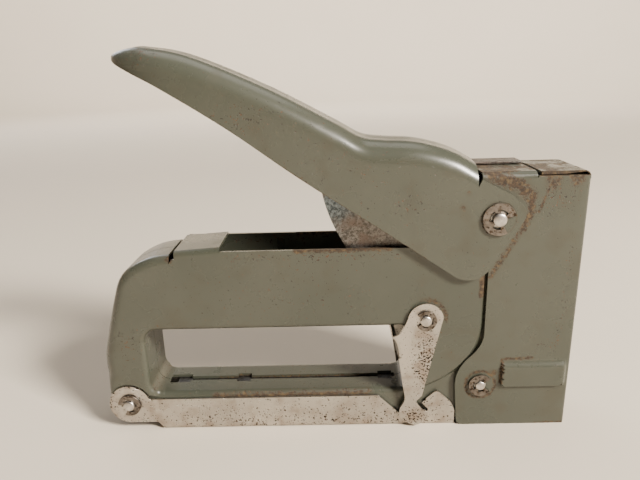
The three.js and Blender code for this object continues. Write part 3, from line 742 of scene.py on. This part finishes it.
def helix(name, radius, wire, turns, start, end, axis, centre, steps=20, sides=10):
    """Spring wire wound along Z or X between two ends."""
    verts, faces = [], []
    count = int(turns * steps)
    length = end - start - wire
    for i in range(count + 1):
        t = i / count
        a = t * turns * 2 * pi
        along = start + wire / 2 + t * length
        for k in range(sides):
            b = 2 * pi * k / sides
            r = radius + wire / 2 * cos(b)
            p, q = (centre[0] + r * cos(a)) * MM, (centre[1] + r * sin(a)) * MM
            s = (along + wire / 2 * sin(b)) * MM
            verts.append((p, q, s) if axis == "z" else (s, p, q))
    for i in range(count):
        for k in range(sides):
            n = (k + 1) % sides
            faces.append([i * sides + k, i * sides + n, (i + 1) * sides + n, (i + 1) * sides + k])
    faces += [list(range(sides)), list(range(count * sides, (count + 1) * sides))]
    spring = piece(name, (verts, faces), merge=0.001)
    edit_whole(spring, (bpy.ops.mesh.normals_make_consistent, {"inside": False}))
    bpy.ops.object.shade_smooth_by_angle(angle=radians(60))
    return spring


def make_springs(steel):
    low, high = edges_of("power_spring")
    middle_x = (low[0] + high[0]) / 2
    power = helix("power_spring_wound", 6.1, 1.8, 9, low[2], high[2], "z", (middle_x, 0))
    place(power, "root", "spring_steel", steel, "power_spring")
    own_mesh(power)
    low, high = edges_of("pusher_spring")
    z = (low[2] + high[2]) / 2
    push = helix("pusher_spring_wound", 2.2, 0.7, 26, low[0], high[0], "x", (0, z), 14, 6)
    place(push, "track", "spring_steel", steel, "pusher_spring")
    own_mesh(push)


# ---- parts shown as they were built ----
INNER_PARTS = ("front_guide_plate", "latch_pin_spacer", "nose_pin_spacer", "hinge_pin_spacer",
               "lever_bushing", "plunger", "driver_blade", "driver_rivet", "spring_seat",
               "spring_guide_rod", "staple_rail", "pusher_guide_rod", "staple_pusher",
               "magazine_channel")


def finish_inner_parts(material):
    for name in INNER_PARTS:
        part = bpy.data.objects[name]
        part.data.materials.clear()
        part.data.materials.append(material)


# ---- finishes ----
class Finish:
    """A material built up in steps; lengths are in millimetres on the finished object."""

    def __init__(self, name, metallic=0.0):
        self.material = bpy.data.materials.new(name)
        self.material.use_nodes = True
        self.tree = self.material.node_tree
        self.shader = self.tree.nodes["Principled BSDF"]
        self.shader.inputs["Metallic"].default_value = metallic
        metres = self.add("ShaderNodeTexCoord").outputs["Object"]
        self.place = self.vector("SCALE", metres, None, None, 1 / MM)
        self.x, self.y, self.z = self.add("ShaderNodeSeparateXYZ", self.place).outputs

    def add(self, kind, *inputs, **settings):
        node = self.tree.nodes.new(kind)
        for key, value in settings.items():
            setattr(node, key, value)
        for socket, value in zip(node.inputs, inputs):
            self.give(socket, value)
        return node

    def give(self, socket, value):
        if isinstance(value, bpy.types.NodeSocket):
            self.tree.links.new(value, socket)
        elif value is not None:
            socket.default_value = value

    def math(self, operation, *values, clamp=False):
        return self.add("ShaderNodeMath", *values, operation=operation, use_clamp=clamp).outputs[0]

    def vector(self, operation, *values, output=0):
        return self.add("ShaderNodeVectorMath", *values, operation=operation).outputs[output]

    def times(self, a, b):
        return self.math("MULTIPLY", a, b)

    def plus(self, a, b):
        return self.math("ADD", a, b)

    def most(self, *values):
        best = values[0]
        for value in values[1:]:
            best = self.math("MAXIMUM", best, value)
        return best

    def fade(self, value, low, high):
        """0 at low and 1 at high, eased."""
        return self.add("ShaderNodeMapRange", value, low, high,
                        interpolation_type="SMOOTHSTEP").outputs[0]

    def between(self, value, low, high):
        """A 0 to 1 value spread over a range."""
        return self.add("ShaderNodeMapRange", value, 0.0, 1.0, low, high).outputs[0]

    def noise(self, size, detail=4.0, stretch=(1, 1, 1), shift=0.0, rough=0.5):
        """Cloudy grain of about this size, moved over by the shift so that no two are alike."""
        place = self.add("ShaderNodeMapping", self.place, (shift, 1.7 * shift, -shift),
                         (0, 0, 0), tuple(1 / (size * s) for s in stretch)).outputs[0]
        node = self.tree.nodes.new("ShaderNodeTexNoise")
        for name, value in (("Vector", place), ("Scale", 1.0), ("Detail", detail),
                            ("Roughness", rough)):
            self.give(node.inputs[name], value)
        return node.outputs[0]

    def mix(self, share, a, b):
        """Colour a turning into colour b."""
        node = self.tree.nodes.new("ShaderNodeMix")
        node.data_type = "RGBA"
        for index, value in ((0, share), (6, a), (7, b)):
            self.give(node.inputs[index], (*value, 1) if isinstance(value, tuple) else value)
        return node.outputs[2]

    def at_most(self, value, strength):
        return value if strength == 1 else self.times(value, strength)

    def along(self, points, width, strength=1):
        """Full strength on a line seen from the side, fading to 0 at its width."""
        flat = self.add("ShaderNodeCombineXYZ", self.x, 0.0, self.z).outputs[0]
        gap = None
        for a, b in zip(points, points[1:]):
            start, way = Vector((a[0], 0, a[1])), Vector((b[0] - a[0], 0, b[1] - a[1]))
            local = self.vector("SUBTRACT", flat, start)
            share = self.vector("DOT_PRODUCT", local, way / way.length_squared, output=1)
            share = self.math("ADD", share, 0.0, clamp=True)
            reach = self.vector("SCALE", way, None, None, share)
            away = self.vector("DISTANCE", local, reach, output=1)
            gap = away if gap is None else self.math("MINIMUM", gap, away)
        return self.at_most(self.fade(gap, width, 0.0), strength)

    def around(self, x, z, rx, rz, strength=1):
        """Full strength at a spot seen from the side, fading to 0 at its edge."""
        p = self.math("DIVIDE", self.math("SUBTRACT", self.x, x), rx)
        q = self.math("DIVIDE", self.math("SUBTRACT", self.z, z), rz)
        away = self.math("SQRT", self.plus(self.times(p, p), self.times(q, q)))
        return self.at_most(self.fade(away, 1.0, 0.15), strength)

    def ring(self, x, z, r, width, strength=1):
        """Full strength on a circle seen from the side, fading to 0 at its width."""
        p, q = self.math("SUBTRACT", self.x, x), self.math("SUBTRACT", self.z, z)
        away = self.math("SQRT", self.plus(self.times(p, p), self.times(q, q)))
        off = self.math("ABSOLUTE", self.math("SUBTRACT", away, r))
        return self.at_most(self.fade(off, width, 0.0), strength)

    def finish(self, color, roughness, height=None, depth=0.1):
        """Height is 0 to 1, and depth is how many millimetres that stands for."""
        self.give(self.shader.inputs["Base Color"], color)
        self.give(self.shader.inputs["Roughness"], roughness)
        if height is not None:
            bump = self.tree.nodes.new("ShaderNodeBump")
            bump.inputs["Strength"].default_value = 1.0
            bump.inputs["Distance"].default_value = depth * MM
            self.give(bump.inputs["Height"], height)
            self.give(self.shader.inputs["Normal"], bump.outputs[0])
        return self.material


RUST_DARK, RUST_BROWN = (0.018, 0.011, 0.006), (0.05, 0.028, 0.013)
RUST_TAN = (0.088, 0.058, 0.026)
ENAMEL_GREEN, ENAMEL_PALE = (0.047, 0.051, 0.038), (0.055, 0.058, 0.044)
GRIME = (0.044, 0.036, 0.021)
CHIP_DARK, CHIP_RUST = (0.016, 0.011, 0.008), (0.095, 0.04, 0.016)


def rust_color(f, shift=0.0):
    deep = f.mix(f.fade(f.noise(0.6, 6, shift=shift), 0.4, 0.62), RUST_DARK, RUST_BROWN)
    return f.mix(f.fade(f.noise(1.5, 6, shift=shift + 9), 0.48, 0.66), deep, RUST_TAN)


def enamel(name, shift, stains, specks, tint=1.0):
    """Glossy grey-green baked enamel with rust at its worn places."""
    f = Finish(name)
    green, pale, brown = (tuple(v * tint for v in color)
                          for color in (ENAMEL_GREEN, ENAMEL_PALE, GRIME))
    stained, speckled = stains(f), specks(f)
    tone = f.mix(f.fade(f.noise(38, 3, shift=shift), 0.35, 0.65), green, pale)
    grime = f.times(f.fade(f.noise(9, 6, shift=shift + 3), 0.5, 0.75), 0.35)
    grime = f.most(grime, f.times(f.fade(stained, 0.05, 0.9), 0.75))
    tone = f.mix(grime, tone, brown)
    grain = f.noise(1.15, 8, shift=shift + 5, rough=0.68)
    eaten = f.fade(f.plus(grain, f.times(stained, 0.34)), 0.68, 0.76)
    chip = f.plus(f.noise(0.75, 2, shift=shift + 7), f.times(speckled, 0.1))
    chip = f.fade(chip, 0.70, 0.73)
    chip_color = f.mix(f.fade(f.noise(3, 2, shift=shift), 0.45, 0.65), CHIP_DARK, CHIP_RUST)
    color = f.mix(chip, f.mix(eaten, tone, rust_color(f, shift)), chip_color)
    bare = f.most(eaten, chip)
    gloss = f.between(f.noise(14, 5, shift=shift + 2), 0.2, 0.36)
    roughness = f.most(f.times(bare, 0.85), f.plus(gloss, f.times(grime, 0.35)))
    peel = f.noise(1.9, 2, shift=shift + 1)
    surface = f.plus(f.times(peel, 0.1), f.times(f.math("SUBTRACT", 1.0, bare), 0.75))
    surface = f.plus(surface, f.times(f.times(bare, f.noise(0.45, 4)), 0.7))
    f.shader.inputs["Coat Weight"].default_value = 0.12
    f.shader.inputs["Coat Roughness"].default_value = 0.12
    return f.finish(color, roughness, surface, 0.06)


def body_enamel():
    def stains(f):
        rim = f.along([(-14, BODY_TOP), (22, BODY_TOP + 0.3)], 2.6)
        bar = f.along([(-50, 14.4), (14, 14.6)], 3.0, 0.85)
        corner = f.around(LOOP["x0"] + 3, LOOP["z0"] + 5, 5, 8, 0.8)
        seam = f.along([(NOSE_X - 37, 66), (NOSE_X - 37, 58)], 2.4)
        upper_front = f.fade(f.plus(f.x, f.z), sum(LATCH) + 2, sum(LATCH) + 9)
        latch = f.times(f.ring(*LATCH, 8.0, 2.0, 0.82), upper_front)
        notch = f.around(TAIL_X + 31.5, BODY_TOP - 3, 2.6, 2.0)
        floor = f.around(LOOP["x0"] + 36, LOOP["z0"], 3, 3, 0.4)
        return f.most(rim, bar, corner, seam, latch, notch, floor)

    def specks(f):
        return f.most(f.along([(-40, 75), (24, 75)], 4), f.around(TAIL_X + 12, 40, 9, 16),
                      f.around(-20, 60, 60, 20, 0.4))
    return enamel("green_enamel_body", 0.0, stains, specks)


def nose_enamel():
    x, rear, high = NOSE_X, BOSS["x0"], BOSS["z1"]

    def stains(f):
        lobe = f.along([(x - 36, 105), (x - 26.5, 101.5), (x - 21.8, 97.5)], 5.4)
        turn = f.along([(x - 21.8, 97.5), (x - 20.6, 91.5), (x - 23.5, 84.5)], 3.0)
        down = f.along([(x - 23.5, 84.5), (x - 27.5, 77.5), (x - 34.5, 65.5)], 2.6, 0.75)
        cap = f.most(f.around(x - 13.5, 102, 5.6, 6.2), f.around(x - 5, 103, 5.5, 5.5))
        streaks = f.times(f.fade(f.noise(2.2, 4, stretch=(1, 1, 9)), 0.45, 0.62),
                          f.along([(x - 17, 103), (x - 2, 103)], 13, 0.62))
        run_down = f.along([(x - 14.8, 100), (x - 18, 91)], 1.3, 0.8)
        top = f.times(f.fade(f.z, 105.2, 105.9), f.fade(f.noise(6, 4), 0.42, 0.6))
        boss = f.along([(rear, 20), (rear + 0.4, high + 0.2), (rear + 12, high + 0.6)], 1.5, 0.85)
        patch = f.around(NOSE_PIN[0] + 5, NOSE_PIN[1] + 5.4, 3.6, 2.6, 0.85)
        ring = f.ring(*NOSE_PIN, 6.0, 1.5, 0.8)
        low = f.along([(x - 12, 0.3), (x + 1, 0.5), (x, 5)], 1.4, 0.7)
        cut = f.times(f.fade(f.z, 103.9, 104.4), f.fade(f.x, x - 19.2, x - 18.6))
        cut = f.times(f.fade(f.math("ABSOLUTE", f.y), 12.2, 12.75), cut)
        return f.most(lobe, turn, down, f.times(cap, 0.8), streaks, run_down, top, boss, patch,
                      ring, low, f.times(cut, 1.3))

    def specks(f):
        return f.most(f.along([(x - 4.5, 76), (x - 5, 48), (x - 7, 34)], 3.5),
                      f.around(x - 10, 36, 7, 4), f.around(x - 12, 95, 14, 12))
    return enamel("green_enamel_nose", 21.0, stains, specks)


def handle_enamel():
    x, z = LEVER
    rim = about(LEVER, [(-23, -21.6), (-16.5, -25), (-9.5, -27), (-2.5, -23.5), (3, -14.5)])
    edge = about(LEVER, HANDLE_LOW[:-22:8])

    def stains(f):
        spots = f.most(f.around(x - 11.5, z + 10, 1.8, 1.8), f.around(x - 13.5, z + 4.6, 2.6, 2.6))
        return f.most(f.along(rim, 1.4, 0.92), f.times(spots, 0.62),
                      f.ring(x, z, 6.4, 0.9, 0.5), f.along(edge, 0.55, 0.7))

    def specks(f):
        return f.most(f.around(x - 33, z + 6.5, 11, 7), f.around(x - 90, z + 39, 26, 9),
                      f.around(x - 128, z + 60, 14, 7), f.around(x - 60, z + 18, 50, 30, 0.35))
    return enamel("green_enamel_handle", 47.0, stains, specks, 1.02)


def pitted_chrome():
    """Bright plate clouded by age, with brown pits that gather at the lower and working edges."""
    f = Finish("pitted_chrome", 1.0)
    dense = f.most(f.around(LATCH[0] + 0.5, LATCH[1] - 18, 8, 22),
                   f.around(LATCH[0] - 4, LATCH[1] - 43, 7, 6),
                   f.along([(-60, 3), (40, 3)], 9, 0.45), f.ring(*HINGE, 9.0, 2.5, 0.6))
    pits = f.fade(f.plus(f.noise(0.85, 3, shift=4), f.times(dense, 0.115)), 0.64, 0.67)
    fine = f.fade(f.plus(f.noise(0.4, 2, shift=8), f.times(dense, 0.05)), 0.69, 0.73)
    haze = f.fade(f.plus(f.noise(5.5, 6), f.times(dense, 0.16)), 0.45, 0.8)
    clean = f.mix(f.fade(f.noise(22, 3), 0.35, 0.65), (0.53, 0.50, 0.455), (0.44, 0.415, 0.38))
    stained = f.mix(f.times(haze, 0.75), clean, (0.30, 0.24, 0.19))
    bare = f.most(pits, f.times(fine, 0.8))
    pit_color = f.mix(f.fade(f.noise(2.0, 3), 0.4, 0.7),
                      (0.012, 0.009, 0.007), (0.06, 0.03, 0.015))
    color = f.mix(bare, stained, pit_color)
    gloss = f.between(f.noise(3.2, 6, shift=2), 0.2, 0.42)
    roughness = f.most(f.plus(gloss, f.times(haze, 0.2)), f.times(bare, 0.8))
    surface = f.plus(f.times(f.math("SUBTRACT", 1.0, bare), 0.8),
                     f.times(f.noise(1.1, 4, shift=3), 0.12))
    return f.finish(color, roughness, surface, 0.06)


def dull_zinc():
    """Grey plate gone mottled, with fine dark pits and a painted bluish reflection on the lever
    insert's upper rear corner.
    """
    f = Finish("dull_zinc", 1.0)
    # painted reflection: a blue tint mixed into the colour at the insert's upper rear corner,
    # standing in for blue light reflected by the curved plate there
    painted_blue_reflection = f.around(LEVER[0] - 62, LEVER[1] + 6, 14, 16, 0.9)
    mottle = f.fade(f.noise(1.0, 7, rough=0.65), 0.38, 0.64)
    grey = f.mix(mottle, (0.07, 0.065, 0.06), (0.24, 0.225, 0.21))
    reflected_blue = f.mix(mottle, (0.055, 0.07, 0.08), (0.24, 0.29, 0.32))
    color = f.mix(painted_blue_reflection, grey, reflected_blue)
    worn = f.plus(f.noise(7, 6, shift=5), f.times(f.fade(f.z, 100, 106), 0.14))
    worn = f.times(f.fade(worn, 0.5, 0.68), 0.7)
    color = f.mix(worn, color, (0.19, 0.15, 0.13))
    pits = f.fade(f.noise(0.5, 3, shift=6), 0.6, 0.68)
    color = f.mix(pits, color, (0.05, 0.035, 0.025))
    roughness = f.plus(f.between(mottle, 0.34, 0.52), f.times(worn, 0.15))
    roughness = f.most(roughness, f.times(pits, 0.85))
    surface = f.plus(f.times(mottle, 0.35), f.times(f.math("SUBTRACT", 1.0, pits), 0.65))
    return f.finish(color, roughness, surface, 0.05)


def steel(name, light, dark, roughness, rusty, shift=0.0):
    """Bare steel with fine machining marks and a little brown in its hollows."""
    f = Finish(name, 1.0)
    cloud = f.fade(f.noise(3.0, 6, shift=shift, rough=0.6), 0.35, 0.7)
    marks = f.noise(0.6, 3, stretch=(1, 0.18, 1), shift=shift + 2)
    brown = f.plus(f.noise(1.3, 6, shift=shift + 4), rusty * 0.3)
    brown = f.times(f.fade(brown, 0.62, 0.76), 0.9)
    color = f.mix(brown, f.mix(cloud, light, dark), rust_color(f, shift))
    rough = f.plus(f.between(marks, roughness - 0.1, roughness + 0.14), f.times(cloud, 0.08))
    rough = f.most(rough, f.times(brown, 0.8))
    surface = f.plus(f.times(marks, 0.3), f.times(f.math("SUBTRACT", 1.0, brown), 0.6))
    return f.finish(color, rough, surface, 0.03)


def pale_floor():
    """Matt, off-white and almost even."""
    f = Finish("pale_floor")
    color = f.mix(f.noise(300, 3), (0.60, 0.53, 0.44), (0.63, 0.56, 0.47))
    return f.finish(color, 0.95)


# ---- floor, lights and camera ----
def make_stage():
    """A pale floor that sweeps up into a low wall all round, far behind the object."""
    flat, sweep, rise, steps = 2.4, 0.8, 0.7, 12
    bpy.ops.object.select_all(action="DESELECT")
    bpy.ops.mesh.primitive_circle_add(vertices=96, radius=flat, fill_type="NGON",
                                      location=(0, 0, 0))
    floor = bpy.context.active_object
    floor.name = "floor"
    bpy.ops.object.mode_set(mode="EDIT")
    bpy.ops.mesh.select_all(action="SELECT")
    reach, risen = flat, 0.0
    for turn in [pi / 2 * i / steps for i in range(1, steps + 1)]:
        wide, lift = flat + sweep * sin(turn), sweep * (1 - cos(turn))
        bpy.ops.mesh.extrude_edges_move(TRANSFORM_OT_translate={"value": (0, 0, lift - risen)})
        bpy.ops.transform.resize(value=(wide / reach, wide / reach, 1), center_override=(0, 0, 0))
        reach, risen = wide, lift
    bpy.ops.mesh.extrude_edges_move(TRANSFORM_OT_translate={"value": (0, 0, rise)})
    bpy.ops.object.mode_set(mode="OBJECT")
    bpy.ops.object.shade_smooth_by_angle(angle=radians(40))
    floor.data.materials.append(pale_floor())


def softbox(name, place_at, aim, size, power, color):
    data = bpy.data.lights.new(f"{name}_softbox", "AREA")
    data.shape = "RECTANGLE"
    data.size, data.size_y = size
    data.energy, data.color = power, color
    light = bpy.data.objects.new(data.name, data)
    bpy.context.collection.objects.link(light)
    light.location = place_at
    light.rotation_euler = (Vector(aim) - Vector(place_at)).to_track_quat("-Z", "Y").to_euler()


def make_lights():
    softbox("key", (1.25, -0.95, 1.15), (0, 0, 0.06), (0.45, 0.45), 122, (1.0, 0.93, 0.82))
    softbox("top", (0.0, 0.4, 1.6), (0, 0, 0.05), (1.4, 1.0), 9, (1.0, 0.95, 0.87))
    softbox("rear", (-1.1, 1.3, 1.0), (0, 0, 0.06), (0.8, 0.8), 9, (0.92, 0.95, 1.0))
    softbox("backdrop", (0.2, 1.6, 1.5), (0.2, 3.3, 0.35), (3.0, 0.5), 95, (1.0, 0.94, 0.86))
    world = bpy.data.worlds.new("studio_air")
    bpy.context.scene.world = world
    world.use_nodes = True
    air = world.node_tree.nodes["Background"].inputs
    air["Color"].default_value, air["Strength"].default_value = (0.92, 0.90, 0.88, 1), 0.16


HALF_VIEW = 0.5773503    # half the width of view, for each unit of distance ahead
CAMERA_PLACE = (NOSE_X - 95.711, -212.801, 143.314)


def make_camera():
    """Close to the right side, as high as the handle and looking a little down."""
    yaw, pitch, roll = radians(-1.0036), radians(17.077), radians(-1.619)
    ahead = Vector((sin(yaw) * cos(pitch), cos(yaw) * cos(pitch), -sin(pitch)))
    right = Vector((cos(yaw), -sin(yaw), 0))
    up = right.cross(ahead)
    right, up = cos(roll) * right + sin(roll) * up, -sin(roll) * right + cos(roll) * up
    data = bpy.data.cameras.new("camera")
    data.sensor_width = 36
    data.lens = data.sensor_width / 2 / HALF_VIEW
    data.clip_start, data.clip_end = 0.01, 20
    camera = bpy.data.objects.new("camera", data)
    bpy.context.collection.objects.link(camera)
    turn = Matrix((right, up, -ahead)).transposed().to_4x4()
    camera.matrix_world = Matrix.Translation(Vector(CAMERA_PLACE) * MM) @ turn
    bpy.context.scene.camera = camera


chrome, zinc = pitted_chrome(), dull_zinc()
pin_steel = steel("pin_steel", (0.62, 0.59, 0.56), (0.40, 0.37, 0.34), 0.3, 0.0)
clip_steel = steel("dark_clip_steel", (0.21, 0.185, 0.165), (0.10, 0.085, 0.072), 0.42, 0.4, 13.0)
inner_steel = steel("plain_steel", (0.15, 0.145, 0.14), (0.07, 0.066, 0.062), 0.48, 0.2, 31.0)
wire_steel = steel("spring_steel", (0.20, 0.19, 0.18), (0.11, 0.10, 0.09), 0.38, 0.1, 5.0)
make_body(body_enamel())
make_nose(nose_enamel(), zinc)
make_track(chrome)
make_latch(chrome)
make_handle(handle_enamel())
make_insert(zinc)
# each cross pin, the radius of its tips and which way its clips open
for pin, tip, mouth in (("lever_pivot_pin", 2.55, -0.4), ("latch_pin", 2.2, pi),
                        ("nose_pin", 1.9, 0), ("track_hinge_pin", 2.2, pi + 0.5)):
    make_pin(pin, tip, pin_steel)
    make_clips(pin, tip, mouth, clip_steel)
make_springs(wire_steel)
finish_inner_parts(inner_steel)
make_stage()
make_lights()
make_camera()
